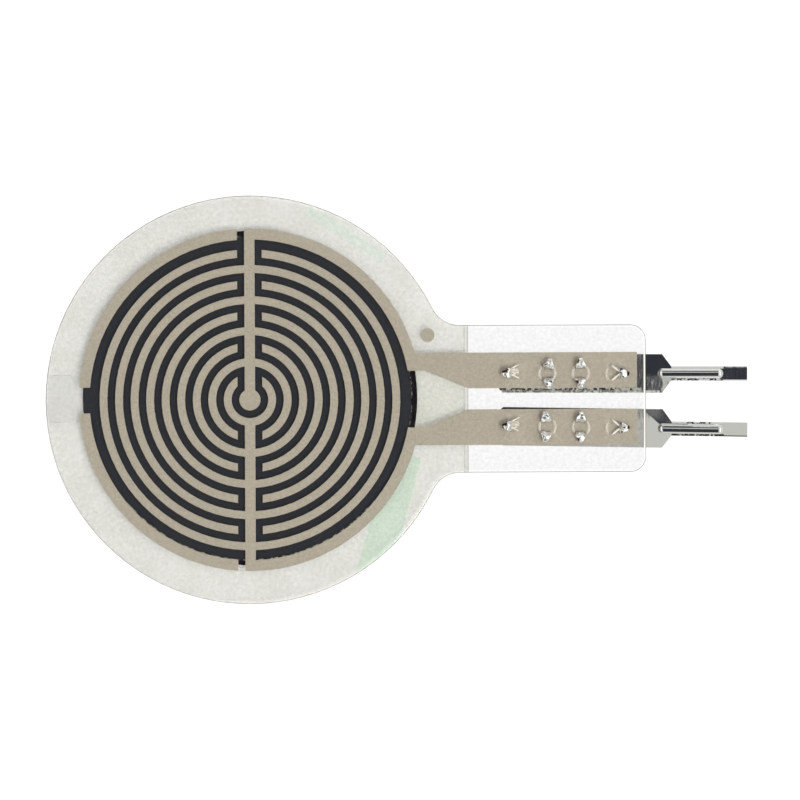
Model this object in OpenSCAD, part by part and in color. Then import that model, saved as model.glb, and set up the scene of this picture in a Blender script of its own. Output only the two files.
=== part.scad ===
// Round thin-film force sensor with two crimped solder tails.
// The origin is the centre of the disc on its mounting face, +X runs along the tail, +Z faces the user.

/* [Film outline] */
// Diameter of the sensing disc
disc_dia = 18.28; // [16:0.02:30]
// Width of the tail
tail_w = 6.6; // [5.6:0.1:8]
// How far the tail runs on past the disc
tail_len = 8.58; // [7.8:0.02:50]
// Radius of the corners at the end of the tail
tail_corner_r = 0.7; // [0.2:0.05:1.2]
// Radius of the front film where the disc runs into the tail
neck_r = 1.35; // [0.8:0.05:2]
// How far the back film and the spacer run on past the disc
neck_len = 0.63; // [0.55:0.01:1]
// Radius of the back layers where the disc runs into the neck
back_neck_r = 1.1; // [0.6:0.05:1.5]
// How far the liner and its adhesive stop short of the back film
liner_setback = 0.14; // [0:0.01:0.2]

/* [Film stack] */
// Thickness of the paper release liner
liner_t = 0.08; // [0.05:0.01:0.15]
// Thickness of the mounting adhesive
mounting_adhesive_t = 0.05; // [0.03:0.01:0.1]
// Thickness of the back film
back_film_t = 0.13; // [0.075:0.005:0.2]
// Thickness of the spacer adhesive, which sets the gap between the films
spacer_t = 0.15; // [0.08:0.01:0.25]
// Thickness of the front film
front_film_t = 0.13; // [0.075:0.005:0.2]
// Thickness of the silver print
silver_t = 0.02; // [0.01:0.005:0.03]
// Thickness of the black resistive print
resistive_t = 0.02; // [0.01:0.005:0.03]

/* [Silver combs] */
// Diameter of the dot in the middle
dot_dia = 0.95; // [0.6:0.05:1.3]
// Number of rings, which belong to the two combs in turn and share the room round the dot evenly
ring_count = 9; // [5:1:10]
// Width of a ring
finger_w = 0.35; // [0.25:0.01:0.36]
// Width of the two spines
spine_w = 0.465; // [0.3:0.005:0.7]
// Gap between a spine and the ends of the other comb's rings
spine_gap = 0.32; // [0.2:0.01:0.45]
// Gap between the last ring and the outer arcs
arc_gap = 0.45; // [0.25:0.01:0.55]
// Width of the outer arcs
arc_w = 0.49; // [0.35:0.01:0.6]
// Clear border between the outer arcs and the edge of the disc
border_w = 1.47; // [1.35:0.01:2.2]
// Gap at the left between the two loose arcs
loose_arc_gap = 1.15; // [0.4:0.05:3]

/* [Leads and mark] */
// Width of a lead along the tail
lead_w = 1.6; // [1:0.05:1.9]
// Width of a lead where it leaves its arc
lead_root_w = 0.8; // [0.4:0.05:1]
// From the outer arcs to the place where the leads start to widen
lead_root_len = 0.16; // [0.05:0.01:0.5]
// Length of the stretch where the leads widen
lead_flare_len = 1.92; // [0.5:0.02:2.5]
// From the ends of the leads to the end of the tail
lead_margin = 0.39; // [0.1:0.01:1]
// Diameter of the round mark beside the neck
mark_dia = 0.63; // [0.3:0.01:0.8]
// Gap between the mark and the upper arc, and between the mark and the line of the upper lead
mark_gap = 0.475; // [0.2:0.005:0.5]

/* [Black print, spacer and vent] */
// How far the black print runs on past the inner edge of the outer arcs
resistive_lap = 0.31; // [0.15:0.01:0.45]
// How far the edge of the spacer stands back from the inner edge of the outer arcs
spacer_setback = 0.05; // [0:0.01:0.2]
// Width of the air vent through the spacer
vent_w = 2.07; // [0.5:0.01:4]
// Sideways error of the black print and of the openings in the spacer
black_shift = 0.08; // [-0.1:0.01:0.1]

/* [Terminals] */
// Distance between the two solder tails
pin_pitch = 2.54; // [2.3:0.01:2.8]
// Thickness of the sheet metal
stock_t = 0.2; // [0.15:0.01:0.25]
// Width of the crimped plate
plate_w = 1.73; // [1.6:0.01:1.9]
// Length of the crimped plate
plate_len = 7.31; // [6.6:0.01:9]
// Length of the plate that lies under the tail
plate_lap = 6.58; // [6.2:0.01:7]
// Chamfer at the inner corners of the plate
plate_chamfer = 0.18; // [0.05:0.01:0.4]
// Length of the taper from the plate to the solder tail
shoulder_len = 0.41; // [0.2:0.01:1]
// Width of the solder tail
pin_w = 0.635; // [0.6:0.005:0.9]
// Length of the solder tail
pin_len = 3.4; // [3:0.05:6]
// Width of the rib that stiffens the solder tail
rib_w = 0.45; // [0.36:0.01:0.5]
// Height of the rib over the solder tail
rib_h = 0.13; // [0.08:0.01:0.16]
// Length of the rib
rib_len = 2.94; // [1.5:0.02:3.2]
// How far the rib runs back into the plate
rib_overrun = 0.2; // [0:0.01:0.5]
// Radius of the groove under the rib
rib_groove_r = 0.14; // [0.05:0.01:0.15]

/* [Crimp claws] */
// Number of pierced places on a terminal
pierce_count = 4; // [2:1:4]
// From the end of the plate to the first pierced place
pierce_start = 0.8; // [0.75:0.01:0.9]
// Distance between the first two pierced places
first_pitch = 1.36; // [1.3:0.01:1.6]
// Distance between two of the others
pierce_pitch = 1.5; // [1.45:0.01:1.6]
// Radius of the hole pierced in the plate
pierce_r = 0.19; // [0.1:0.01:0.25]
// How far a claw stands back from its pierced hole
claw_setback = 0.02; // [0.01:0.005:0.05]
// Thickness of a claw
claw_t = 0.14; // [0.08:0.01:0.16]
// Inner radius of a claw's curl
curl_r = 0.1; // [0.07:0.01:0.13]
// Width of a claw where it leaves the film
claw_root_w = 0.46; // [0.3:0.01:0.55]
// Width of a claw at its tip
claw_tip_w = 0.14; // [0.08:0.01:0.25]
// Clearance round a claw in its slit in the film
slit_clearance = 0.01; // [0.005:0.005:0.03]
// Radius of the ridge that the piercing raises in the film
ridge_r = 0.36; // [0.3:0.01:0.42]
// Radius of the ridge's own section
ridge_section_r = 0.08; // [0.06:0.01:0.1]
// Height of the ridge over the film
ridge_h = 0.05; // [0.02:0.01:0.05]

/* [Placing of the crimps] */
// Sideways error of the upper terminal
upper_shift = -0.15; // [-0.2:0.01:0.1]
// Turn of the upper terminal about its crimp
upper_turn = -0.3; // [-1:0.1:1]
// Lean of the upper terminal's second pair of claws towards the solder tail
upper_lean = 12; // [-15:1:15]
// Sideways error of the lower terminal
lower_shift = -0.01; // [-0.2:0.01:0.1]
// Turn of the lower terminal about its crimp
lower_turn = -1.1; // [-1.5:0.1:1]
// Lean of the lower terminal's second pair of claws towards the solder tail
lower_lean = -9; // [-15:1:15]

/* [Hidden] */
$fn = 96;
// Margin by which a cutter overshoots what it cuts
over = 0.05;
upper = 1;
lower = -1;

// Heights of the layers
adhesive_z = liner_t;
back_film_z = adhesive_z + mounting_adhesive_t;
spacer_z = back_film_z + back_film_t;
front_film_z = spacer_z + spacer_t;
top_z = front_film_z + front_film_t;
silver_z = front_film_z - silver_t;

// Reaches along the tail, from the centre of the disc
disc_r = disc_dia / 2;
tail_reach = disc_r + tail_len;
back_reach = disc_r + neck_len;
liner_reach = back_reach - liner_setback;
plate_x = tail_reach - plate_lap;

// Radii of the printed pattern
arc_outer_r = disc_r - border_w;
arc_r = arc_outer_r - arc_w;
ring_pitch = (arc_r - arc_gap - dot_dia / 2) / ring_count;
first_ring_r = dot_dia / 2 + ring_pitch - finger_w;
ring_end_x = spine_w / 2 + spine_gap;

// Edges of the leads, from the middle line of the tail
lead_outer_y = pin_pitch / 2 + lead_w / 2;
lead_inner_y = pin_pitch / 2 - lead_w / 2;
lead_root_y = lead_outer_y - lead_root_w;
flare_x = arc_outer_r + lead_root_len;

// Centre of the mark, which stands in the corner between the upper arc and the upper lead
mark_y = lead_outer_y + mark_gap + mark_dia / 2;
mark_x = circle_x(arc_outer_r + mark_gap + mark_dia / 2, mark_y);

// Places on a terminal, from the inner end of its plate
pin_x = plate_len + shoulder_len;
terminal_len = pin_x + pin_len;
crimp_mid_x = (pierce_start + pierce_x(pierce_count - 1)) / 2;
film_over_plate = silver_t + front_film_t;
claw_foot = pierce_r + claw_setback;
claw_bend = claw_foot + claw_t;
claw_reach = claw_bend + 2 * curl_r + claw_t;

// Disc and tail as one outline, with a fillet of radius r at the neck and the tail cut off at reach
module film_outline(r, reach) {
    half_w = tail_w / 2;
    fillet_y = half_w + r;
    fillet_x = sqrt(pow(disc_r + r, 2) - pow(fillet_y, 2));
    touch = disc_r / (disc_r + r) * [fillet_x, fillet_y];
    circle(disc_r);
    difference() {
        polygon([[0, 0], [touch.x, -touch.y], [fillet_x, -half_w], [reach, -half_w], [reach, half_w],
            [fillet_x, half_w], touch]);
        for (side = [upper, lower])
            translate([fillet_x, side * fillet_y])
                circle(r);
    }
}

// The front film's outline, with its two far corners rounded
module front_outline() {
    film_outline(neck_r, tail_reach - tail_corner_r);
    translate([tail_reach - 2 * tail_corner_r, -tail_w / 2 + tail_corner_r])
        square([2 * tail_corner_r, tail_w - 2 * tail_corner_r]);
    for (side = [upper, lower])
        translate([tail_reach - tail_corner_r, side * (tail_w / 2 - tail_corner_r)])
            circle(tail_corner_r);
}

module ring(inner_r, width) {
    difference() {
        circle(inner_r + width);
        circle(inner_r);
    }
}

// A strip up the Y axis, from the centre outwards
module strip(half_w) {
    translate([-half_w, 0])
        square([2 * half_w, disc_dia]);
}

// The patterns below are those of the upper comb, and the lower comb is their mirror image.
// The rings of a comb, broken where the other comb's spine passes
module comb_rings(first) {
    difference() {
        for (n = [first : 2 : ring_count])
            ring(first_ring_r + (n - 1) * ring_pitch, finger_w);
        rotate(180)
            strip(ring_end_x);
    }
}

// A spine, from the given radius out to the outer arc
module spine(from_r) {
    intersection() {
        strip(spine_w / 2);
        ring(from_r, arc_outer_r - from_r);
    }
}

// An outer arc that joins a spine to its lead
module live_arc() {
    intersection() {
        ring(arc_r, arc_w);
        translate([-spine_w / 2, lead_root_y])
            square([disc_dia, disc_dia]);
    }
}

// An arc of the border that joins nothing
module loose_arc() {
    intersection() {
        ring(arc_r, arc_w);
        translate([-ring_end_x - disc_dia, loose_arc_gap / 2])
            square([disc_dia, disc_dia]);
    }
}

// The place on a circle that is y from the middle line of the tail
function circle_x(r, y) = sqrt(r * r - y * y);

// A lead, from the middle of its arc's width along the tail
module lead() {
    start_x = (circle_x(arc_r, lead_root_y) + circle_x(arc_outer_r, lead_outer_y)) / 2;
    end_x = tail_reach - lead_margin;
    polygon([[start_x, lead_outer_y], [start_x, lead_root_y], [flare_x, lead_root_y],
        [flare_x + lead_flare_len, lead_inner_y], [end_x, lead_inner_y], [end_x, lead_outer_y]]);
}

// A silver pattern on the back of the front film
module silver_print(side) {
    translate([0, 0, silver_z])
        mirror([0, side == upper ? 0 : 1, 0])
            linear_extrude(silver_t)
                children();
}

// Puts children on a terminal's own frame: its plate's top face, inner end and middle line
module at_terminal(side) {
    shift = side == upper ? upper_shift : lower_shift;
    turn = side == upper ? upper_turn : lower_turn;
    translate([plate_x + crimp_mid_x, side * pin_pitch / 2 + shift, silver_z])
        rotate([0, 0, turn])
            translate([-crimp_mid_x, 0, 0])
                children();
}

// The middle of a pierced place, counted from 0
function pierce_x(n) = pierce_start + (n > 0 ? first_pitch + (n - 1) * pierce_pitch : 0);

module at_pierced_places() {
    for (n = [0 : pierce_count - 1])
        translate([pierce_x(n), 0, 0])
            children();
}

// The two end places have one claw that points outwards, the others have one to each side
function claw_turns(n, lean) = n == 0 ? [180] : n == pierce_count - 1 ? [0] : [90 - lean, lean - 90];

module at_claws(side) {
    pair_lean = side == upper ? upper_lean : lower_lean;
    for (n = [0 : pierce_count - 1])
        translate([pierce_x(n), 0, 0])
            for (turn = claw_turns(n, n == 1 ? pair_lean : 0))
                rotate([0, 0, turn])
                    children();
}

// Cutter round a claw, from its foot outwards
module claw_slot(length, from_z, to_z) {
    width = claw_root_w + 2 * slit_clearance;
    translate([claw_foot - slit_clearance, -width / 2, from_z])
        cube([length, width, to_z - from_z]);
}

// Cutters for the slits that the claws tear in the film and its print
module slits(side) {
    at_terminal(side)
        at_claws(side)
            claw_slot(claw_t + 2 * slit_clearance, -over, film_over_plate + ridge_h + over);
}

// The ridge that the piercing raises in the film, the top of a ring that lies mostly inside it
module ridges(side) {
    at_terminal(side)
        difference() {
            at_pierced_places()
                intersection() {
                    rotate_extrude()
                        translate([ridge_r, film_over_plate + ridge_h - ridge_section_r])
                            circle(ridge_section_r);
                    translate([0, 0, film_over_plate - front_film_t / 4])
                        cylinder(r = 2 * ridge_r, h = front_film_t + ridge_h);
                }
            at_claws(side)
                claw_slot(claw_reach, film_over_plate, film_over_plate + ridge_h + over);
        }
}

// A comb with its lead, torn where the claws pass
module printed_comb(side, first, spine_from_r) {
    difference() {
        silver_print(side) {
            comb_rings(first);
            spine(spine_from_r);
            live_arc();
            lead();
            children();
        }
        slits(side);
    }
}

// The terminal's outline in the flat
module terminal_outline() {
    plate = plate_w / 2;
    pin = pin_w / 2;
    polygon([[0, -plate + plate_chamfer], [plate_chamfer, -plate], [plate_len, -plate],
        [pin_x, -pin], [terminal_len, -pin], [terminal_len, pin], [pin_x, pin], [plate_len, plate],
        [plate_chamfer, plate], [0, plate - plate_chamfer]]);
}

// A round bar with round ends along the solder tail, with its middle line at height z
module rib_bar(r, end_inset, z) {
    straight_len = rib_len - 2 * end_inset;
    translate([plate_len - rib_overrun + end_inset, 0, z])
        rotate([0, 90, 0])
            rotate_extrude()
                intersection() {
                    union() {
                        circle(r);
                        square([r, straight_len]);
                        translate([0, straight_len])
                            circle(r);
                    }
                    translate([0, -r])
                        square([r, straight_len + 2 * r]);
                }
}

// The rib stands over the solder tail as a segment of a circle, rib_w wide and rib_h high
module rib() {
    rib_r = (pow(rib_w / 2, 2) + pow(rib_h, 2)) / (2 * rib_h);
    intersection() {
        rib_bar(rib_r, rib_w / 2, rib_h - rib_r);
        translate([0, -plate_w / 2, -stock_t])
            cube([terminal_len, plate_w, stock_t + rib_h + over]);
    }
}

// A claw that points along +X: it stands up through the film, curls over and lands on it
module claw() {
    half_root = claw_root_w / 2;
    half_tip = claw_tip_w / 2;
    intersection() {
        translate([0, claw_root_w, 0])
            rotate([90, 0, 0])
                linear_extrude(2 * claw_root_w) {
                    translate([claw_foot, -stock_t])
                        square([claw_t, stock_t + film_over_plate]);
                    intersection() {
                        translate([claw_bend + curl_r, film_over_plate])
                            ring(curl_r, claw_t);
                        translate([0, film_over_plate])
                            square([claw_reach + over, curl_r + claw_t + over]);
                    }
                }
        translate([0, 0, -stock_t - over])
            linear_extrude(stock_t + film_over_plate + curl_r + claw_t + 2 * over)
                polygon([[0, -half_root], [claw_bend, -half_root], [claw_reach, -half_tip],
                    [claw_reach, half_tip], [claw_bend, half_root], [0, half_root]]);
    }
}

module terminal(side) {
    difference() {
        union() {
            translate([0, 0, -stock_t])
                linear_extrude(stock_t)
                    terminal_outline();
            rib();
        }
        rib_bar(rib_groove_r, rib_w / 2, -stock_t);
        at_pierced_places()
            translate([0, 0, -stock_t - over])
                cylinder(r = pierce_r, h = stock_t + 2 * over);
    }
    at_claws(side)
        claw();
}

module release_liner() {
    color("white")
        linear_extrude(liner_t)
            film_outline(back_neck_r, liner_reach);
}

module mounting_adhesive() {
    color("whitesmoke", 0.5)
        translate([0, 0, adhesive_z])
            linear_extrude(mounting_adhesive_t)
                film_outline(back_neck_r, liner_reach);
}

module back_film() {
    color("gainsboro", 0.5)
        translate([0, 0, back_film_z])
            linear_extrude(back_film_t)
                film_outline(back_neck_r, back_reach);
}

module resistive_ink() {
    color([0.13, 0.14, 0.16])
        translate([0, black_shift, spacer_z])
            cylinder(r = arc_r + resistive_lap, h = resistive_t);
}

// The spacer takes in the prints that it is pressed over
module spacer_adhesive() {
    color("whitesmoke", 0.5)
        difference() {
            translate([0, 0, spacer_z])
                linear_extrude(spacer_t)
                    difference() {
                        film_outline(back_neck_r, back_reach);
                        translate([0, black_shift])
                            circle(arc_r + spacer_setback);
                        translate([-disc_dia, black_shift - vent_w / 2])
                            square([disc_dia, vent_w]);
                    }
            resistive_ink();
            upper_electrode();
            lower_electrode();
            upper_border_arc();
            lower_border_arc();
            registration_dot();
        }
}

module upper_electrode() {
    color([0.69, 0.66, 0.60])
        printed_comb(upper, 2, dot_dia / 4)
            circle(dot_dia / 2);
}

module lower_electrode() {
    color([0.69, 0.66, 0.60])
        printed_comb(lower, 1, first_ring_r + finger_w / 2);
}

module upper_border_arc() {
    color([0.69, 0.66, 0.60])
        silver_print(upper)
            loose_arc();
}

module lower_border_arc() {
    color([0.69, 0.66, 0.60])
        silver_print(lower)
            loose_arc();
}

module registration_dot() {
    color([0.69, 0.66, 0.60])
        translate([mark_x, mark_y, silver_z])
            cylinder(d = mark_dia, h = silver_t);
}

module front_film() {
    color("gainsboro", 0.35)
        difference() {
            union() {
                translate([0, 0, front_film_z])
                    linear_extrude(front_film_t)
                        front_outline();
                ridges(upper);
                ridges(lower);
            }
            slits(upper);
            slits(lower);
        }
}

module upper_terminal() {
    color("silver")
        at_terminal(upper)
            terminal(upper);
}

module lower_terminal() {
    color("silver")
        at_terminal(lower)
            terminal(lower);
}

release_liner();
mounting_adhesive();
back_film();
resistive_ink();
spacer_adhesive();
upper_electrode();
lower_electrode();
upper_border_arc();
lower_border_arc();
registration_dot();
front_film();
upper_terminal();
lower_terminal();
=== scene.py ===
import math

import bmesh
import bpy
from mathutils import Matrix, Vector, noise


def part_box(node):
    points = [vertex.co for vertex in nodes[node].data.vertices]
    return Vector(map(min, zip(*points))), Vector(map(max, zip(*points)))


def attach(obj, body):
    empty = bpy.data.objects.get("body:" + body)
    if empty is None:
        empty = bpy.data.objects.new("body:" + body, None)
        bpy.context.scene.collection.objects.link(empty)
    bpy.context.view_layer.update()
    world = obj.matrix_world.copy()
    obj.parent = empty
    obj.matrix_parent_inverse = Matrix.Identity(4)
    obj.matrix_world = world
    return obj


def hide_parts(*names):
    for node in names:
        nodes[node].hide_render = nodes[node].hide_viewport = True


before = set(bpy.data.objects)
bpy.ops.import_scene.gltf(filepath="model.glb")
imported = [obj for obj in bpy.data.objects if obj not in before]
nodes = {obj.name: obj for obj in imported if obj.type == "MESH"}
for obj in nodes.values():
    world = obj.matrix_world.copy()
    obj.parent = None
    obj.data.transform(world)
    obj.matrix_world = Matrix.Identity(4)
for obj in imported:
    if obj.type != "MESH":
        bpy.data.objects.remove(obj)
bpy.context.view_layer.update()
mm = 0.001    # in metres; a size that isn't multiplied by it in a table is in mm, and is where it is used
print("frame loaded:", len(nodes), "nodes")


# Shared helpers
bendBlur = 0.012    # mm over which a bend of a surface sets in, where its own entry gives none
weld = 0.0005 * mm    # corners closer than this are one


def hexColour(text):
    # sRGB hex to linear, which is what the shaders work in
    channels = [int(text[n:n + 2], 16) / 255 for n in (1, 3, 5)]
    linear = [c / 12.92 if c <= 0.04045 else ((c + 0.055) / 1.055) ** 2.4 for c in channels]
    return (*linear, 1.0)


def newMaterial(name):
    material = bpy.data.materials.new(name)
    material.use_nodes = True
    material.node_tree.nodes.clear()
    return material


def addNode(tree, kind, settings=None, inputs=None):
    # an input is a plain value, or (node, output) for a link
    node = tree.nodes.new(kind)
    for key, value in (settings or {}).items():
        setattr(node, key, value)
    for key, value in (inputs or {}).items():
        if isinstance(value, tuple) and isinstance(value[0], bpy.types.Node):
            tree.links.new(value[0].outputs[value[1]], node.inputs[key])
        else:
            node.inputs[key].default_value = value
    return node


def foldMasks(tree, masks, operation):
    # joins masks two by two, MULTIPLY for what they share and MAXIMUM for all that they cover
    joined = masks[0]
    for mask in masks[1:]:
        joined = addNode(tree, "ShaderNodeMath", {"operation": operation}, {0: (joined, 0), 1: (mask, 0)})
    return joined


def maskOf(tree, limits):
    # 1 where every value lies between its limits, 0 outside, each limit being (node, output), low, high, blur
    steps = []
    for link, low, high, blur in limits:
        for start, end in ((low - blur, low + blur), (high + blur, high - blur)):
            steps.append(addNode(tree, "ShaderNodeMapRange", {"interpolation_type": "SMOOTHSTEP"}, {
                "Value": link, "From Min": start, "From Max": end}))
    return foldMasks(tree, steps, "MULTIPLY")


def perMetre(millimetres):
    # scale of a noise texture on Object coordinates for features of that size
    return 1000.0 / millimetres


def localAxes(tree, origin, turn):
    # X, Y and Z of the object's own coordinates, counted from an origin and a direction in its plane
    coords = addNode(tree, "ShaderNodeTexCoord")
    local = addNode(tree, "ShaderNodeMapping", {"vector_type": "TEXTURE"}, {
        "Vector": (coords, "Object"), "Location": (*origin, 0.0), "Rotation": (0.0, 0.0, math.radians(turn))})
    return addNode(tree, "ShaderNodeSeparateXYZ", inputs={"Vector": (local, "Vector")})


def addBends(tree, axes, normal, roughness, bends, scatter):
    # Leans a normal in patches. Lean is a slope, grain says how far the scatter sways it, skew slants the
    # patch's ends, and dull adds to the roughness.
    for bend in bends:
        blur = bend.get("blur", bendBlur) * mm
        limits = []
        for axis, key in (("X", "along"), ("Y", "across"), ("Z", "height")):
            if key not in bend:
                continue
            link = (axes, axis)
            if key == "along" and "skew" in bend:
                link = (addNode(tree, "ShaderNodeMath", {"operation": "MULTIPLY_ADD"}, {
                    0: (axes, "Y"), 1: bend["skew"], 2: link}), 0)
            limits.append((link, bend[key][0] * mm, bend[key][1] * mm, blur))
        mask = (maskOf(tree, limits), 0)
        lean = addNode(tree, "ShaderNodeVectorMath", {"operation": "MULTIPLY_ADD"}, {
            0: scatter[bend.get("scatter", "crumple")], 1: (*bend["grain"], 0.0), 2: (*bend["lean"], 0.0)})
        share = addNode(tree, "ShaderNodeVectorMath", {"operation": "SCALE"}, {0: (lean, 0), "Scale": mask})
        normal = (addNode(tree, "ShaderNodeVectorMath", {"operation": "ADD", "label": bend["what"]}, {
            0: normal, 1: (share, 0)}), 0)
        if "dull" in bend:
            roughness = (addNode(tree, "ShaderNodeMath", {"operation": "MULTIPLY_ADD"}, {
                0: mask, 1: bend["dull"], 2: roughness}), 0)
    return addNode(tree, "ShaderNodeVectorMath", {"operation": "NORMALIZE"}, {0: normal}), roughness


def makeScatter(tree, size, stretch=(1.0, 1.0, 1.0)):
    # noise vectors round zero
    coords = addNode(tree, "ShaderNodeTexCoord")
    place = addNode(tree, "ShaderNodeMapping", inputs={"Vector": (coords, "Object"), "Scale": stretch})
    texture = addNode(tree, "ShaderNodeTexNoise", inputs={
        "Vector": (place, "Vector"), "Scale": perMetre(size), "Detail": 1.5})
    return (addNode(tree, "ShaderNodeVectorMath", {"operation": "SUBTRACT"}, {
        0: (texture, "Color"), 1: (0.5, 0.5, 0.5)}), 0)


def setRamp(node, stops):
    ramp = node.color_ramp
    ramp.elements[0].position, ramp.elements[0].color = stops[0]
    ramp.elements[1].position, ramp.elements[1].color = stops[-1]
    for position, colour in stops[1:-1]:
        ramp.elements.new(position).color = colour
    return node


def giveMaterial(obj, *materials):
    if obj.data.materials:
        obj.data.materials.clear()
    for material in materials:
        obj.data.materials.append(material)


def copyOfNode(name):
    # a merged copy of a CAD node's mesh, to be shaped further
    bm = bmesh.new()
    bm.from_mesh(nodes[name].data)
    bmesh.ops.remove_doubles(bm, verts=bm.verts, dist=weld)
    bmesh.ops.dissolve_limit(bm, angle_limit=math.radians(1), verts=bm.verts, edges=bm.edges)
    return bm


def swayAt(point, size):
    # noise round zero along each axis, the same in every run, which noise_vector is not
    shifts = ((0.3, 0.7, 0.1), (31.6, 7.2, 19.9), (11.4, 43.8, 5.5))
    return Vector([noise.noise(point / size + Vector(shift)) for shift in shifts])


def bevelEdges(bm, edges, width, segments, clamp=True):
    # gives back the new faces
    made = bmesh.ops.bevel(bm, geom=edges, offset=width, segments=segments, profile=0.5,
                           affect="EDGES", material=-1, clamp_overlap=clamp)
    bm.normal_update()
    return made["faces"]


def finishPiece(bm, name, body="root"):
    mesh = bpy.data.meshes.new(name)
    bm.to_mesh(mesh)
    bm.free()
    piece = bpy.data.objects.new(name, mesh)
    bpy.context.scene.collection.objects.link(piece)
    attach(piece, body)
    return piece


# Camera, straight down as in the photo
cameraValues = {
    "lens": 200.0,
    "sensorWidth": 36.0,
    "clip": (0.01, 20.0),
    "frameWidth": 35.79 * mm,
    "centre": (6.716 * mm, -0.038 * mm, 0.5 * mm),
    "turn": -0.26,
}


def makeCamera(values):
    data = bpy.data.cameras.new("camera")
    data.sensor_fit = "HORIZONTAL"
    data.sensor_width = values["sensorWidth"]
    data.lens = values["lens"]
    data.clip_start, data.clip_end = values["clip"]
    camera = bpy.data.objects.new("camera", data)
    bpy.context.scene.collection.objects.link(camera)
    distance = values["frameWidth"] * values["lens"] / values["sensorWidth"]
    camera.location = Vector(values["centre"]) + Vector((0, 0, distance))
    camera.rotation_euler = (0, 0, math.radians(values["turn"]))
    bpy.context.scene.camera = camera


makeCamera(cameraValues)
print("camera set")

# Pale light tent with a soft lamp on either side. Angles are in degrees from straight up: across to the
# right, and along to the far side. The camera's arm comes in from the near side, and a gap lies beyond the
# roof flap.
tentValues = {
    "wall": (0.66, 0.67, 0.66),
    "blur": 1.2,
    "patches": [
        {"what": "right lamp", "across": (24, 58), "along": (-48, 48), "level": (1.5, 1.49, 1.46)},
        {"what": "left lamp", "across": (-46, -24), "along": (-48, 48), "level": (1.2, 1.19, 1.16)},
        {"what": "left end", "across": (-89, -48), "along": (-89, 89), "level": (0.1, 0.09, 0.1)},
        {"what": "roof flap", "across": (-14, 14), "along": (7, 36), "level": (0.6, 0.61, 0.58)},
        {"what": "camera arm", "across": (-9, 9), "along": (-56, 8), "level": (0.03, 0.034, 0.044)},
        {"what": "gap", "across": (-14, 14), "along": (37, 55), "level": (0.03, 0.035, 0.05)},
    ],
}


def makeTent(values):
    world = bpy.data.worlds.new("lightTent")
    bpy.context.scene.world = world
    world.use_nodes = True
    tree = world.node_tree
    tree.nodes.clear()
    coords = addNode(tree, "ShaderNodeTexCoord")
    parts = addNode(tree, "ShaderNodeSeparateXYZ", inputs={"Vector": (coords, "Generated")})
    angles = {}
    for key, axis in (("across", "X"), ("along", "Y")):
        angles[key] = addNode(tree, "ShaderNodeMath", {"operation": "ARCTAN2"}, {
            0: (parts, axis), 1: (parts, "Z")})
    light = addNode(tree, "ShaderNodeRGB")
    light.outputs[0].default_value = (*values["wall"], 1.0)
    light = (light, 0)
    for patch in values["patches"]:
        limits = []
        for key in ("across", "along"):
            low, high = (math.radians(angle) for angle in patch[key])
            limits.append(((angles[key], 0), low, high, math.radians(values["blur"])))
        light = (addNode(tree, "ShaderNodeMix", {"data_type": "RGBA", "label": patch["what"]}, {
            "Factor": (maskOf(tree, limits), 0), 6: light, 7: (*patch["level"], 1.0)}), 2)
    background = addNode(tree, "ShaderNodeBackground", inputs={"Color": light})
    addNode(tree, "ShaderNodeOutputWorld", inputs={"Surface": (background, 0)})


makeTent(tentValues)

# Key lamp at the right and near side. It is polarised, so that no surface mirrors it.
keyValues = {
    "across": 25,
    "along": -23,
    "distance": 0.4,
    "size": 0.18,
    "power": 0.8,
    "colour": (1.0, 0.985, 0.96),
}


def makeKeyLamp(values):
    data = bpy.data.lights.new("keyLamp", "AREA")
    data.shape = "DISK"
    data.size = values["size"]
    data.energy = values["power"]
    data.color = values["colour"]
    lamp = bpy.data.objects.new("keyLamp", data)
    bpy.context.scene.collection.objects.link(lamp)
    way = Vector((math.tan(math.radians(values["across"])), math.tan(math.radians(values["along"])), 1.0))
    lamp.location = Vector(cameraValues["centre"]) + way.normalized() * values["distance"]
    lamp.rotation_euler = way.to_track_quat("Z", "Y").to_euler()
    lamp.visible_glossy = False


makeKeyLamp(keyValues)

# White light table, which shines just enough to keep the shadows under the films away
floorValues = {"size": 3.0, "colour": "#505050", "roughness": 0.9, "glow": 1.01}


def makeFloor(values):
    bm = bmesh.new()
    bmesh.ops.create_grid(bm, x_segments=1, y_segments=1, size=values["size"] / 2)
    mesh = bpy.data.meshes.new("floor")
    bm.to_mesh(mesh)
    bm.free()
    floor = bpy.data.objects.new("floor", mesh)
    bpy.context.scene.collection.objects.link(floor)
    material = newMaterial("opalLightTable")
    tree = material.node_tree
    shader = addNode(tree, "ShaderNodeBsdfPrincipled", inputs={
        "Base Color": hexColour(values["colour"]), "Roughness": values["roughness"],
        "Specular IOR Level": 0.0, "Emission Color": (1.0, 1.0, 1.0, 1.0),
        "Emission Strength": values["glow"]})
    addNode(tree, "ShaderNodeOutputMaterial", inputs={"Surface": (shader, 0)})
    giveMaterial(floor, material)


makeFloor(floorValues)
print("tent and light table set")


# Uncoated release paper, dull white with a faint cloudiness, and plain pale bars of colour on its outer face
linerValues = {
    "colour": "#e8e7e6",
    "cloud": "#e2e1de",
    "cloudSize": 1.6,
    "fibreSize": 0.12,
    "fibreHeight": 0.002 * mm,
    "fibreStrength": 0.4,
    "roughness": 0.75,
    "spread": 0.35 * mm,
    "barBlur": 0.03,
    "bars": [
        {"tint": "#ebfbef", "centre": (5.84, -6.52), "turn": -15, "width": 1.5, "from": -3.0, "to": 4.2},
        {"tint": "#f6fef9", "centre": (4.3, 7.43), "turn": -122, "width": 0.5, "from": -2.1, "to": 2.1},
    ],
}


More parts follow.
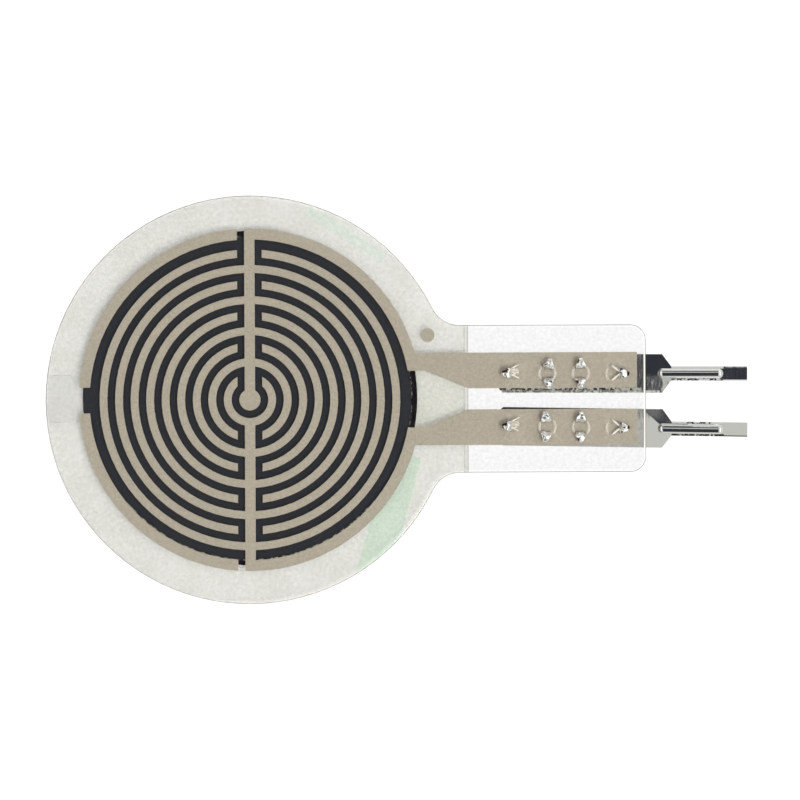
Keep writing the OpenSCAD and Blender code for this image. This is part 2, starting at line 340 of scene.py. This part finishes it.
def makePaper(values):
    material = newMaterial("releasePaper")
    tree = material.node_tree
    coords = addNode(tree, "ShaderNodeTexCoord")
    cloud = addNode(tree, "ShaderNodeTexNoise", inputs={
        "Vector": (coords, "Object"), "Scale": perMetre(values["cloudSize"]), "Detail": 3.0})
    paper = setRamp(addNode(tree, "ShaderNodeValToRGB", inputs={"Fac": (cloud, "Fac")}), [
        (0.35, hexColour(values["cloud"])), (0.65, hexColour(values["colour"]))])
    colour = (paper, "Color")
    for bar in values["bars"]:
        axes = localAxes(tree, [value * mm for value in bar["centre"]], bar["turn"])
        halfWidth = bar["width"] / 2 * mm
        barMask = maskOf(tree, [
            ((axes, "X"), -halfWidth, halfWidth, values["barBlur"] * mm),
            ((axes, "Y"), bar["from"] * mm, bar["to"] * mm, values["barBlur"] * mm)])
        colour = (addNode(tree, "ShaderNodeMix", {"data_type": "RGBA", "blend_type": "MULTIPLY"}, {
            "Factor": (barMask, 0), 6: colour, 7: hexColour(bar["tint"])}), 2)
    fibre = addNode(tree, "ShaderNodeTexNoise", inputs={
        "Vector": (coords, "Object"), "Scale": perMetre(values["fibreSize"]), "Detail": 4.0})
    bump = addNode(tree, "ShaderNodeBump", inputs={
        "Height": (fibre, "Fac"), "Distance": values["fibreHeight"], "Strength": values["fibreStrength"]})
    shader = addNode(tree, "ShaderNodeBsdfPrincipled", inputs={
        "Base Color": colour, "Roughness": values["roughness"], "Normal": (bump, "Normal"),
        "Subsurface Weight": 1.0, "Subsurface Radius": (1.0, 1.0, 1.0), "Subsurface Scale": values["spread"]})
    shader.subsurface_method = "BURLEY"
    addNode(tree, "ShaderNodeOutputMaterial", inputs={"Surface": (shader, 0)})
    return material


# Screen-printed polymer silver, a satin grey-beige with a fine flake
silverValues = {"colour": "#c7beac", "dark": "#b6ad9c", "flakeSize": 0.07, "roughness": 0.6}


def makeSilverInk(values):
    material = newMaterial("screenPrintedSilver")
    tree = material.node_tree
    coords = addNode(tree, "ShaderNodeTexCoord")
    flake = addNode(tree, "ShaderNodeTexNoise", inputs={
        "Vector": (coords, "Object"), "Scale": perMetre(values["flakeSize"]), "Detail": 2.0})
    colour = setRamp(addNode(tree, "ShaderNodeValToRGB", inputs={"Fac": (flake, "Fac")}), [
        (0.3, hexColour(values["dark"])), (0.7, hexColour(values["colour"]))])
    shader = addNode(tree, "ShaderNodeBsdfPrincipled", inputs={
        "Base Color": (colour, "Color"), "Roughness": values["roughness"]})
    addNode(tree, "ShaderNodeOutputMaterial", inputs={"Surface": (shader, 0)})
    return material


# Screen-printed carbon ink, powdery in the air gap and in the vent, deeper where the adhesive wets it
carbonValues = {
    "dry": "#36373b",
    "wet": "#1f1a1d",
    "roughness": 0.95,
    "shine": 0.05,
    "wetFrom": 7.23,
    "ventWidth": 2.07,
    "shift": 0.08,
    "blur": 0.01,
}


def makeCarbonInk(values):
    material = newMaterial("screenPrintedCarbon")
    tree = material.node_tree
    coords = addNode(tree, "ShaderNodeTexCoord")
    flat = addNode(tree, "ShaderNodeVectorMath", {"operation": "MULTIPLY_ADD"}, {
        0: (coords, "Object"), 1: (1.0, 1.0, 0.0), 2: (0.0, -values["shift"] * mm, 0.0)})
    parts = addNode(tree, "ShaderNodeSeparateXYZ", inputs={"Vector": (flat, 0)})
    radius = addNode(tree, "ShaderNodeVectorMath", {"operation": "LENGTH"}, {0: (flat, 0)})
    blur = values["blur"] * mm
    halfVent = values["ventWidth"] / 2 * mm
    dryDisc = maskOf(tree, [((radius, "Value"), -1.0, values["wetFrom"] * mm, blur)])
    vent = maskOf(tree, [((parts, "X"), -1.0, 0.0, blur), ((parts, "Y"), -halfVent, halfVent, blur)])
    dry = foldMasks(tree, [dryDisc, vent], "MAXIMUM")
    colour = addNode(tree, "ShaderNodeMix", {"data_type": "RGBA"}, {
        "Factor": (dry, 0), 6: hexColour(values["wet"]), 7: hexColour(values["dry"])})
    shader = addNode(tree, "ShaderNodeBsdfPrincipled", inputs={
        "Base Color": (colour, 2), "Roughness": values["roughness"], "Specular IOR Level": values["shine"]})
    addNode(tree, "ShaderNodeOutputMaterial", inputs={"Surface": (shader, 0)})
    return material


# Bright tin plate over bronze strip: a mirror, bent, rolled and torn here and there by the crimping press.
# The bends stand in each terminal's own frame, in mm, from the middle of its plate's end, X along the tail.
tinValues = {
    "colour": "#f0efec",
    "roughness": 0.08,
    "ripple": 0.05,
    "rippleSize": 0.7,
    "streak": 0.06,
    "streakWidth": 0.045,
    "crumpleSize": 0.13,
    # colour of the painted shade on the claws' tips and flanks, and how its spots spread and rise
    "tipShade": "#3a2a22",
    "tipBlur": 0.04,
    "tipsAbove": 0.55,
    "tipRise": 0.005,
    "bends": [
        {"what": "claws", "along": (-7.6, -0.8), "height": (0.555, 2),
         "lean": (0.13, 0.03), "grain": (0.85, 0.75)},
        {"what": "drawn edge of the tail", "along": (0.42, 2.75), "across": (0.22, 0.4),
         "lean": (0, 0.8), "grain": (0.5, 1.0)},
        {"what": "sheared edge of the tail", "along": (0.42, 2.75), "across": (-0.4, -0.22),
         "lean": (0, -0.42), "grain": (0.25, 1.8)},
    ],
    "sides": {
        "upper": {
            "origin": (18.45, 1.097),
            "turn": -0.3,
            # places of the painted shade spots: along, across and reach
            "tips": [(-7.05, 0.14, 0.12), (-1.47, 0.0, 0.12), (-3.81, 0.55, 0.09), (-3.81, -0.38, 0.08)],
            "bends": [
                {"what": "plate", "along": (-9, 9), "lean": (0, -0.03), "grain": (0, 0)},
                {"what": "scuffs beside the silver", "along": (-7.6, -0.9), "across": (-0.76, -0.64),
                 "lean": (0, 0.1), "grain": (0.2, 0.45)},
                {"what": "rolled edge of the plate", "along": (-7.6, -0.1), "across": (-1, -0.76),
                 "lean": (0, -0.9), "grain": (1.2, 1.2)},
                {"what": "strip by the film's edge", "along": (-1.25, -0.74),
                 "lean": (0, 0.045), "grain": (0, 0.1), "scatter": "streak", "dull": 0.08},
                {"what": "fan below the rib", "along": (-0.72, 0), "across": (-0.95, -0.06), "blur": 0.15,
                 "lean": (0, 0.055), "grain": (0, 0.25), "scatter": "streak", "dull": 0.08},
                {"what": "hollow by the shoulder", "along": (0, 0.6), "across": (-0.95, -0.16), "blur": 0.1,
                 "lean": (0, 0.13), "grain": (0, 0.1), "scatter": "streak", "dull": 0.1},
                {"what": "near edge of the tail's end", "along": (2.75, 4), "across": (-0.4, -0.27),
                 "lean": (0, -0.9), "grain": (0.2, 0.3)},
                {"what": "far edge of the tail's end", "along": (2.8, 4), "across": (0.25, 0.4), "blur": 0.06,
                 "lean": (0, 0.11), "grain": (0, 0.1), "dull": 0.08},
            ],
        },
        "lower": {
            "origin": (18.45, -1.363),
            "turn": -1.1,
            # places of the painted shade spots: along, across and reach
            "tips": [(-7.06, 0.12, 0.11), (-1.48, 0.06, 0.1), (-3.82, 0.6, 0.09), (-3.8, -0.56, 0.09)],
            "bends": [
                {"what": "plate", "along": (-1.3, 9), "lean": (0, 0.13), "grain": (0, 0)},
                {"what": "near strip of the plate", "along": (-7.6, -1.3), "across": (-1, -0.4),
                 "lean": (0, 0.13), "grain": (0, 0)},
                {"what": "far edge of the plate", "along": (-7.6, -0.1), "across": (0.85, 1),
                 "lean": (0, 0.33), "grain": (0.3, 0.8)},
                {"what": "dip above the rib", "along": (0.12, 1.4), "skew": 1.14, "across": (0.14, 1),
                 "blur": 0.09, "lean": (0, -0.2), "grain": (0, 0.1), "scatter": "streak", "dull": 0.06},
                {"what": "bend by the film's edge", "along": (-2, -0.05), "across": (0.42, 2), "blur": 0.22,
                 "lean": (0, -0.055), "grain": (0, 0.12), "scatter": "streak", "dull": 0.08},
                {"what": "near edge of the tail's end", "along": (2.75, 4), "across": (-0.4, -0.275),
                 "lean": (0, -0.3), "grain": (0.1, 0.1)},
            ],
        },
    },
}


def makeTinPlate(side, values):
    place = values["sides"][side]
    material = newMaterial("brightTinPlate_" + side)
    tree = material.node_tree
    axes = localAxes(tree, [value * mm for value in place["origin"]], place["turn"])
    scatter = {
        "crumple": makeScatter(tree, values["crumpleSize"]),
        "streak": makeScatter(tree, values["streakWidth"], (1.0, 0.12, 1.0)),
        "ripple": makeScatter(tree, values["rippleSize"]),
    }
    coords = addNode(tree, "ShaderNodeTexCoord")
    overall = [{"what": kind, "along": (-99, 99), "lean": (0, 0), "grain": (values[kind], values[kind]),
                "scatter": kind} for kind in ("ripple", "streak")]
    normal, roughness = addBends(tree, axes, (coords, "Normal"), values["roughness"],
                                 overall + place["bends"] + values["bends"], scatter)
    # painted shade: dark brown spots on the claws' tips and flanks
    blur = values["tipBlur"] * mm
    spots = [maskOf(tree, [((axes, "X"), (along - reach) * mm, (along + reach) * mm, blur),
                           ((axes, "Y"), (across - reach) * mm, (across + reach) * mm, blur),
                           ((axes, "Z"), values["tipsAbove"] * mm, 1.0, values["tipRise"] * mm)])
             for along, across, reach in place["tips"]]
    shadedTips = foldMasks(tree, spots, "MAXIMUM")
    colour = addNode(tree, "ShaderNodeMix", {"data_type": "RGBA"}, {
        "Factor": (shadedTips, 0), 6: hexColour(values["colour"]), 7: hexColour(values["tipShade"])})
    shader = addNode(tree, "ShaderNodeBsdfPrincipled", inputs={
        "Base Color": (colour, 2), "Roughness": roughness, "Metallic": 1.0, "Normal": (normal, 0)})
    addNode(tree, "ShaderNodeOutputMaterial", inputs={"Surface": (shader, 0)})
    return material


# Clear polyester: light goes straight through the thin, faintly mottled sheet, and its outer faces mirror a
# little, more at a slant. Round the claws the front film is dented. Its raised rims beside the holes are
# white, partly from the stretched film and partly from a painted highlight.
filmValues = {
    "front": {"passes": (0.993, 0.993, 0.993), "mottle": 0.055, "mirrored": 0.045},
    "back": {"passes": (0.935, 0.938, 0.932), "mottle": 0.01, "mirrored": 0.0,
             "tinted": [
                 {"what": "adhesive squeezed out past the liner", "x": (9.57, 11), "y": (-4, 4),
                  "passes": (0.95, 0.945, 0.93)},
                 {"what": "thick adhesive between the leads", "x": (7.3, 9.57), "y": (-1.3, 1.3),
                  "passes": (0.978, 0.98, 0.965)},
                 {"what": "air in the vent", "x": (-10, -7.23), "y": (-0.955, 1.115),
                  "passes": (0.97, 0.97, 0.97)}]},
    "adhesive": {"passes": (0.996, 0.996, 0.994), "mottle": 0.006, "mirrored": 0.0},
    "mottleSize": 0.16,
    "gloss": 0.05,
    "mirroredAtASlant": 0.9,
    "steepness": 5.0,
    "tintBlur": 0.01,
    # the white of stretched film and a painted highlight, on the raised rims beside the holes
    "stretchWhiteAndHighlight": "#fbf6ec",
    "stretchWhiteAndHighlightShare": 0.3,
    "whiteRoughness": 0.3,
    "whiteAbove": 0.56,
    "whiteRise": 0.014,
    "whiteAndHighlightBands": [(12.82, 13.04), (13.56, 13.78), (14.32, 14.54), (15.06, 15.28), (15.8, 16.03)],
    "whiteAndHighlightBlur": 0.06,
    "dentSize": 0.22,
    "dents": [
        {"what": "dent", "along": (place - 0.55, place + 0.55), "across": side, "blur": 0.25, "lean": (0, 0),
         "grain": (0.7, 0.6)}
        for place in (11.9, 13.3, 14.8, 16.35) for side in ((0.35, 1.95), (-2.15, -0.55))
    ],
}


def makeClearFilm(layer, values):
    film = values[layer]
    material = newMaterial("clearPolyester_" + layer)
    tree = material.node_tree
    coords = addNode(tree, "ShaderNodeTexCoord")
    cloud = addNode(tree, "ShaderNodeTexNoise", inputs={
        "Vector": (coords, "Object"), "Scale": perMetre(values["mottleSize"]), "Detail": 2.0})
    least = [value * (1 - film["mottle"]) for value in film["passes"]]
    passes = setRamp(addNode(tree, "ShaderNodeValToRGB", inputs={"Fac": (cloud, "Fac")}), [
        (0.3, (*least, 1.0)), (0.7, (*film["passes"], 1.0))])
    passes = (passes, "Color")
    axes = localAxes(tree, (0.0, 0.0), 0.0)
    for area in film.get("tinted", []):
        limits = [((axes, axis.upper()), area[axis][0] * mm, area[axis][1] * mm, values["tintBlur"] * mm)
                  for axis in ("x", "y")]
        mixing = {"data_type": "RGBA", "blend_type": "MULTIPLY", "label": area["what"]}
        passes = (addNode(tree, "ShaderNodeMix", mixing, {
            "Factor": (maskOf(tree, limits), 0), 6: passes, 7: (*area["passes"], 1.0)}), 2)
    clear = addNode(tree, "ShaderNodeBsdfTransparent", inputs={"Color": passes})
    mirror = addNode(tree, "ShaderNodeBsdfGlossy", inputs={
        "Color": (1.0, 1.0, 1.0, 1.0), "Roughness": values["gloss"]})
    slant = addNode(tree, "ShaderNodeLayerWeight", inputs={"Blend": 0.5})
    steep = addNode(tree, "ShaderNodeMath", {"operation": "POWER"}, {
        0: (slant, "Facing"), 1: values["steepness"]})
    share = addNode(tree, "ShaderNodeMapRange", inputs={
        "Value": (steep, 0), "To Min": film["mirrored"], "To Max": values["mirroredAtASlant"]})
    shader = addNode(tree, "ShaderNodeMixShader", inputs={0: (share, 0), 1: (clear, 0), 2: (mirror, 0)})
    if film["mirrored"]:
        normal, _ = addBends(tree, axes, (coords, "Normal"), 0.0, values["dents"], {
            "crumple": makeScatter(tree, values["dentSize"])})
        tree.links.new(normal.outputs[0], mirror.inputs["Normal"])
        # stretched-film white and a painted highlight, in bands on the raised rims beside the holes
        raised = maskOf(tree, [((axes, "Z"), values["whiteAbove"] * mm, 1.0, values["whiteRise"] * mm)])
        bands = [maskOf(tree, [((axes, "X"), low * mm, high * mm, values["whiteAndHighlightBlur"] * mm)])
                 for low, high in values["whiteAndHighlightBands"]]
        amount = foldMasks(tree, [raised, foldMasks(tree, bands, "MAXIMUM")], "MULTIPLY")
        amount = addNode(tree, "ShaderNodeMath", {"operation": "MULTIPLY"}, {
            0: (amount, 0), 1: values["stretchWhiteAndHighlightShare"]})
        white = addNode(tree, "ShaderNodeBsdfPrincipled", inputs={
            "Base Color": hexColour(values["stretchWhiteAndHighlight"]), "Roughness": values["whiteRoughness"]})
        shader = addNode(tree, "ShaderNodeMixShader", inputs={0: (amount, 0), 1: (shader, 0), 2: (white, 0)})
    addNode(tree, "ShaderNodeOutputMaterial", inputs={"Surface": (shader, 0)})
    return material


# Sheared film edge, frosted by the die on its rounded rim. Its wall is painted grey for the light that the
# cut
# edge bends: darker over white, lighter over metal. Over the terminals a painted highlight makes the rim
# whiter, and where it is bubbly the adhesive has shut in specks of air along it, with a painted highlight on
# the edge.
edgeValues = {
    "roughness": 0.5,
    # painted highlight: the rim is whiter over the terminals' end
    "highlightOverMetal": {"from": 17.4, "low": -2.25, "high": 1.98, "blur": (0.1, 0.05)},
    "speckSize": 0.2,
    "specks": (0.42, 0.6),
}


def makeCutEdge(name, values, colour, cover, overMetalHighlight=None, bubblesAndHighlight=False):
    material = newMaterial(name)
    tree = material.node_tree
    clear = addNode(tree, "ShaderNodeBsdfTransparent", inputs={"Color": (1.0, 1.0, 1.0, 1.0)})
    frostAndEdgeLight = addNode(tree, "ShaderNodeBsdfPrincipled", inputs={
        "Base Color": hexColour(colour), "Roughness": values["roughness"]})
    mixed = addNode(tree, "ShaderNodeMixShader", inputs={0: cover, 1: (clear, 0), 2: (frostAndEdgeLight, 0)})
    coords = addNode(tree, "ShaderNodeTexCoord")
    amount = None
    if bubblesAndHighlight:
        specks = addNode(tree, "ShaderNodeTexNoise", inputs={
            "Vector": (coords, "Object"), "Scale": perMetre(values["speckSize"]), "Detail": 1.0})
        amount = addNode(tree, "ShaderNodeMapRange", inputs={
            "Value": (specks, "Fac"), "From Min": values["specks"][0], "From Max": values["specks"][1],
            "To Max": cover})
    # painted highlight over the terminals: more cover of the pale rim
    elif overMetalHighlight:
        parts = addNode(tree, "ShaderNodeSeparateXYZ", inputs={"Vector": (coords, "Object")})
        area = values["highlightOverMetal"]
        highlightOverMetal = maskOf(tree, [((parts, "X"), area["from"] * mm, 1.0, area["blur"][0] * mm),
                                  ((parts, "Y"), area["low"] * mm, area["high"] * mm, area["blur"][1] * mm)])
        amount = addNode(tree, "ShaderNodeMapRange", inputs={
            "Value": (highlightOverMetal, 0), "To Min": cover, "To Max": overMetalHighlight})
    if amount:
        tree.links.new(amount.outputs[0], mixed.inputs[0])
    addNode(tree, "ShaderNodeOutputMaterial", inputs={"Surface": (mixed, 0)})
    return material


paper = makePaper(linerValues)
silverInk = makeSilverInk(silverValues)
carbonInk = makeCarbonInk(carbonValues)
tinPlates = {side: makeTinPlate(side, tinValues) for side in tinValues["sides"]}
frontClear = makeClearFilm("front", filmValues)
innerClear = makeClearFilm("back", filmValues)
gumClear = makeClearFilm("adhesive", filmValues)
# pale frosted rim, with a painted highlight where it lies over the terminals
cutSlope = makeCutEdge("dieCutSlope", edgeValues, "#f4f1e8", 0.2, overMetalHighlight=0.9)
# painted shade and highlight: a grey wall for the light that the cut edge bends
cutWall = makeCutEdge("dieCutWall", edgeValues, "#5e5e5b", 0.9)
# specks of air along the spacer's edge, with a painted highlight on the edge
bubblesAndEdgeHighlight = makeCutEdge("bubblyAdhesiveEdgeHighlight", edgeValues, "#d8d8c8", 0.6, bubblesAndHighlight=True)
print("materials made")

giveMaterial(nodes["release_liner"], paper)
giveMaterial(nodes["resistive_ink"], carbonInk)
for name in ("upper_electrode", "lower_electrode", "upper_border_arc", "lower_border_arc",
             "registration_dot"):
    giveMaterial(nodes[name], silverInk)
for side, tinPlate in tinPlates.items():
    giveMaterial(nodes[side + "_terminal"], tinPlate)


# Terminals whose claws are crumpled by the press that folds them down
clawValues = {
    "filmTop": 0.545 * mm,
    "mesh": 0.035 * mm,
    "round": 0.025 * mm,
    "sharperThan": 40,
    "dent": 0.045 * mm,
    "dentSize": 0.15 * mm,
    "fullDentFrom": 0.05 * mm,
    "from": 11.2 * mm,
    "to": 16.9 * mm,
}


def inClaw(vert):
    return vert.co.z > clawValues["filmTop"] and clawValues["from"] < vert.co.x < clawValues["to"]


def cutClaws(bm, axis, step):
    # cuts the claws by planes one step apart along an axis
    claws = [vert.co[axis] for vert in bm.verts if inClaw(vert)]
    high = max(claws)
    place = min(claws) + step / 2
    direction = [1.0 if n == axis else 0.0 for n in range(3)]
    while place < high:
        faces = [face for face in bm.faces if any(inClaw(vert) for vert in face.verts)
                 and min(vert.co[axis] for vert in face.verts) < place
                 < max(vert.co[axis] for vert in face.verts)]
        edges = dict.fromkeys(edge for face in faces for edge in face.edges)
        corners = dict.fromkeys(vert for face in faces for vert in face.verts)
        bmesh.ops.bisect_plane(bm, geom=faces + list(edges) + list(corners), dist=weld,
                               plane_co=[value * place for value in direction], plane_no=direction)
        place += step


def makeTerminal(side, values):
    nodeName = side + "_terminal"
    bm = copyOfNode(nodeName)
    sharp = [edge for edge in bm.edges
             if all(inClaw(vert) for vert in edge.verts) and len(edge.link_faces) == 2
             and edge.calc_face_angle(0.0) > math.radians(values["sharperThan"])]
    bevelEdges(bm, sharp, values["round"], 2)
    # small faces, so that the claws can take their dents
    for axis in range(3):
        cutClaws(bm, axis, values["mesh"])
    for vert in bm.verts:
        if not inClaw(vert):
            continue
        share = min((vert.co.z - values["filmTop"]) / values["fullDentFrom"], 1.0)
        vert.co += swayAt(vert.co, values["dentSize"]) * values["dent"] * share
        vert.co.z = max(vert.co.z, values["filmTop"])
    for face in bm.faces:
        face.smooth = all(inClaw(vert) for vert in face.verts)
    piece = finishPiece(bm, side + "TerminalCrimped")
    giveMaterial(piece, tinPlates[side])
    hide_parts(nodeName)
    return piece


for side in tinPlates:
    terminal = makeTerminal(side, clawValues)
    print("terminal:", side, len(terminal.data.polygons), "faces")


# Lips of film that stand up along the slits of the end claws, stretched white, and a web of torn film between
# one pair of them. Places are in mm in the terminal's own frame, and from and to in the slit's.
lipValues = {
    "colour": "#ece7dc",
    "roughness": 0.25,
    "top": 0.55 * mm,
    "sway": 0.02 * mm,
    "swaySize": 0.08 * mm,
    "places": [
        {"along": -6.51, "across": 0.09, "turn": 180, "webbed": True,
         "from": (0.29, 0.12), "to": (-0.12, 0.31), "thick": 0.034},
        {"along": -2.15, "across": 0.03, "turn": 0, "webbed": False,
         "from": (0.28, 0.02), "to": (-0.13, 0.35), "thick": 0.052},
    ],
    "web": {
        "middle": 0.09,
        "size": (0.2, 0.17, 0.02),
        "streakSize": 0.06,
        "streakStretch": (0.5, 1.6, 1.0),
        "streaks": (-0.08, 0.12),
        "cover": (0.1, 0.75),
    },
}


def makeStretchedFilm(side, values):
    material = newMaterial("stretchedFilm_" + side)
    tree = material.node_tree
    white = addNode(tree, "ShaderNodeBsdfPrincipled", inputs={
        "Base Color": hexColour(values["colour"]), "Roughness": values["roughness"]})
    addNode(tree, "ShaderNodeOutputMaterial", inputs={"Surface": (white, 0)})
    return material


def makeWebOfFilm(side, values):
    # white streaks in film that is clear between them
    web = values["web"]
    material = newMaterial("webOfFilm_" + side)
    tree = material.node_tree
    white = addNode(tree, "ShaderNodeBsdfPrincipled", inputs={
        "Base Color": hexColour(values["colour"]), "Roughness": values["roughness"]})
    streaks = addNode(tree, "ShaderNodeSeparateXYZ", inputs={
        "Vector": makeScatter(tree, web["streakSize"], web["streakStretch"])})
    cover = addNode(tree, "ShaderNodeMapRange", inputs={
        "Value": (streaks, "X"), "From Min": web["streaks"][0], "From Max": web["streaks"][1],
        "To Min": web["cover"][0], "To Max": web["cover"][1]})
    clear = addNode(tree, "ShaderNodeBsdfTransparent", inputs={"Color": (1.0, 1.0, 1.0, 1.0)})
    mixed = addNode(tree, "ShaderNodeMixShader", inputs={0: (cover, 0), 1: (clear, 0), 2: (white, 0)})
    addNode(tree, "ShaderNodeOutputMaterial", inputs={"Surface": (mixed, 0)})
    return material


def makeLips(side, values):
    place = tinValues["sides"][side]
    turn = Matrix.Rotation(math.radians(place["turn"]), 4, "Z")
    onTerminal = Matrix.Translation(Vector((*place["origin"], 0.0)) * mm) @ turn
    bm = bmesh.new()
    for lip in values["places"]:
        onHole = onTerminal @ Matrix.Translation((lip["along"] * mm, lip["across"] * mm, values["top"]))
        onHole = onHole @ Matrix.Rotation(math.radians(lip["turn"]), 4, "Z")
        for mirrored in (1, -1):
            start = Vector((lip["from"][0], lip["from"][1] * mirrored, 0.0)) * mm
            end = Vector((lip["to"][0], lip["to"][1] * mirrored, 0.0)) * mm
            way = end - start
            slope = Matrix.Rotation(math.atan2(way.y, way.x), 4, "Z")
            size = Matrix.Diagonal((way.length / 2, lip["thick"] * mm, lip["thick"] * mm, 1.0))
            bmesh.ops.create_uvsphere(bm, u_segments=16, v_segments=10, radius=1.0,
                                      matrix=onHole @ Matrix.Translation((start + end) / 2) @ slope @ size)
        if lip["webbed"]:
            web = values["web"]
            middle = Matrix.Translation((web["middle"] * mm, 0, 0))
            size = Matrix.Diagonal((*(value * mm for value in web["size"]), 1.0))
            made = bmesh.ops.create_uvsphere(bm, u_segments=24, v_segments=12, radius=1.0,
                                             matrix=onHole @ middle @ size)
            for vert in made["verts"]:
                for face in vert.link_faces:
                    face.material_index = 1
    for vert in bm.verts:
        vert.co += swayAt(vert.co, values["swaySize"]) * values["sway"]
    for face in bm.faces:
        face.smooth = True
    piece = finishPiece(bm, side + "FilmLips")
    giveMaterial(piece, makeStretchedFilm(side, values), makeWebOfFilm(side, values))


for side in tinPlates:
    makeLips(side, lipValues)
print("film lips made")


# Clear layers, each a hair thinner than its node so that no two faces share a plane. Their cut rims are
# rounded: all of the front film but for its slits, the back film's end, and the spacer's opening and vent.
layerValues = {
    "hair": 0.002 * mm,
    "flatAbove": 0.9,    # Z of a flat face's normal
    "wallBelow": 0.1,    # Z of a wall's normal
    "steepBelow": 0.6,    # Z below which a rounded rim counts as wall, and as slope above it
    "rimWithin": 0.06 * mm,
    "rim": 0.1 * mm,
    "endRim": 0.015 * mm,
    "openingRim": 0.04 * mm,
    "slits": {"from": 10 * mm, "to": 17.5 * mm, "across": 3 * mm},
    "neckEnd": 9.7 * mm,
    "openingRadius": 7.23 * mm,
    "openingSlack": 0.05 * mm,
    "ventWidth": 2.07 * mm,
    "ventSlack": 0.01 * mm,
    "shift": 0.08 * mm,
}


def findRims(bm, top, values):
    # the edges between a layer's top and its walls, each with its middle
    found = []
    for edge in bm.edges:
        tops = [face for face in edge.link_faces if face.normal.z > values["flatAbove"]]
        walls = [face for face in edge.link_faces if abs(face.normal.z) < values["wallBelow"]]
        middle = (edge.verts[0].co + edge.verts[1].co) / 2
        between = len(edge.link_faces) == 2 and len(tops) == 1 and len(walls) == 1
        if between and abs(middle.z - top) <= values["rimWithin"]:
            found.append((edge, middle))
    return found


def besideSlits(middle, values):
    slits = values["slits"]
    return slits["from"] < middle.x < slits["to"] and abs(middle.y) < slits["across"]


def byOpening(middle, values):
    across = middle.y - values["shift"]
    inOpening = math.hypot(middle.x, across) < values["openingRadius"] + values["openingSlack"]
    inVent = middle.x < 0 and abs(abs(across) - values["ventWidth"] / 2) < values["ventSlack"]
    return inOpening or inVent


def roundRims(bm, nodeName, values):
    rims = findRims(bm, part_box(nodeName)[1].z, values)
    if nodeName == "front_film":
        edges = [edge for edge, middle in rims if not besideSlits(middle, values)]
        for face in bevelEdges(bm, edges, values["rim"], 2):
            face.material_index = 2 if abs(face.normal.z) < values["steepBelow"] else 1
    elif nodeName == "back_film":
        edges = [edge for edge, middle in rims if middle.x > values["neckEnd"]]
        for face in bevelEdges(bm, edges, values["endRim"], 1):
            face.material_index = 2
    elif nodeName == "spacer_adhesive":
        edges = [edge for edge, middle in rims if byOpening(middle, values)]
        for face in bevelEdges(bm, edges, values["openingRim"], 1, clamp=False):
            face.material_index = 3


def makeLayer(nodeName, pieceName, material, values):
    bm = copyOfNode(nodeName)
    roundRims(bm, nodeName, values)
    bm.normal_update()
    for vert in bm.verts:
        vert.co -= vert.normal * values["hair"]
    piece = finishPiece(bm, pieceName)
    giveMaterial(piece, material, cutSlope, cutWall, bubblesAndEdgeHighlight)
    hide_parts(nodeName)
    print("layer:", pieceName, len(piece.data.polygons), "faces")


makeLayer("mounting_adhesive", "mountingAdhesiveLayer", gumClear, layerValues)
makeLayer("back_film", "backFilmLayer", innerClear, layerValues)
makeLayer("spacer_adhesive", "spacerLayer", gumClear, layerValues)
makeLayer("front_film", "frontFilmLayer", frontClear, layerValues)
print("clear layers made")

scene = bpy.context.scene
scene.view_settings.view_transform = "Standard"
scene.cycles.transparent_max_bounces = 32
